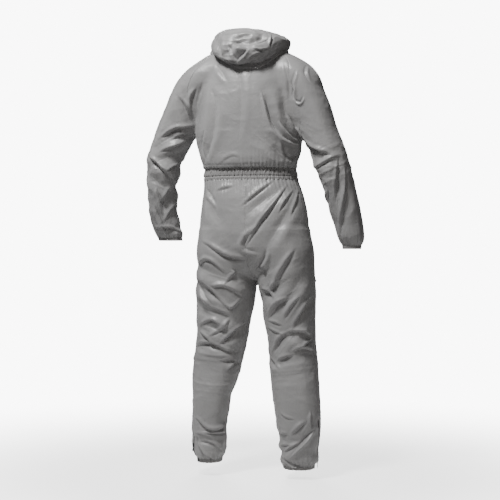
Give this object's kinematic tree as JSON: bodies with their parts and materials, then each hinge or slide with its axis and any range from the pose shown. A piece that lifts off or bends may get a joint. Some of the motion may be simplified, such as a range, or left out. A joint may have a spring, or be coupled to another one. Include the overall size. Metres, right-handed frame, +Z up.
{
  "type": "rain suit",
  "caption": "One-piece rain suit with a hood, raglan sleeves, elastic waist, cuffs and hems, and zips at the front and ankles, worn and hollow.",
  "frame": {"origin": "midway between the wearer's shoulders, level with the shoulder tops beside the neck", "axes": "+Z up, +Y the way the wearer faces, +X to the wearer's right"},
  "size_m": [0.7734, 0.2951, 1.5126],
  "materials": {
    "cloth": "coated nylon, soft sheen",
    "elastic": "gathered nylon over elastic",
    "zip_tape": "matt tape with coil",
    "zip_metal": "satin"
  },
  "bodies": {
    "suit": {"bodice_back": "cloth", "bodice_front_left": "cloth", "bodice_front_right": "cloth", "sleeve_left_back": "cloth", "sleeve_left_front": "cloth", "sleeve_right_back": "cloth", "sleeve_right_front": "cloth", "trouser_back_left": "cloth", "trouser_back_right": "cloth", "trouser_front_left": "cloth", "trouser_front_right": "cloth", "waistband": "elastic", "cuff_left": "elastic", "cuff_right": "elastic", "hem_left": "elastic", "hem_right": "elastic", "collar": "cloth", "hood_left": "cloth", "hood_centre": "cloth", "hood_right": "cloth", "front_zip": "zip_tape", "ankle_zip_left": "zip_tape", "ankle_zip_right": "zip_tape", "front_zip_slider": "zip_metal", "ankle_zip_left_slider": "zip_metal", "ankle_zip_right_slider": "zip_metal"},
    "front_zip_pull": {"front_zip_pull": "zip_metal"},
    "ankle_zip_left_pull": {"ankle_zip_left_pull": "zip_metal"},
    "ankle_zip_right_pull": {"ankle_zip_right_pull": "zip_metal"}
  },
  "joints": [
    {"name": "front_zip_pull_hinge", "type": "hinge", "parent": "suit", "child": "front_zip_pull", "pos_m": [-0.00407, 0.10531, -0.0789], "axis": [0.9999, -0.0076, -0.0107], "range_deg": [0, 150]},
    {"name": "ankle_zip_left_pull_hinge", "type": "hinge", "parent": "suit", "child": "ankle_zip_left_pull", "pos_m": [-0.18639, -0.07242, -1.36759], "axis": [-0.6443, 0.7639, -0.0367], "range_deg": [0, 110]},
    {"name": "ankle_zip_right_pull_hinge", "type": "hinge", "parent": "suit", "child": "ankle_zip_right_pull", "pos_m": [0.24459, -0.01557, -1.41777], "axis": [0.0478, -0.9907, -0.1277], "range_deg": [0, 110]}
  ]
}
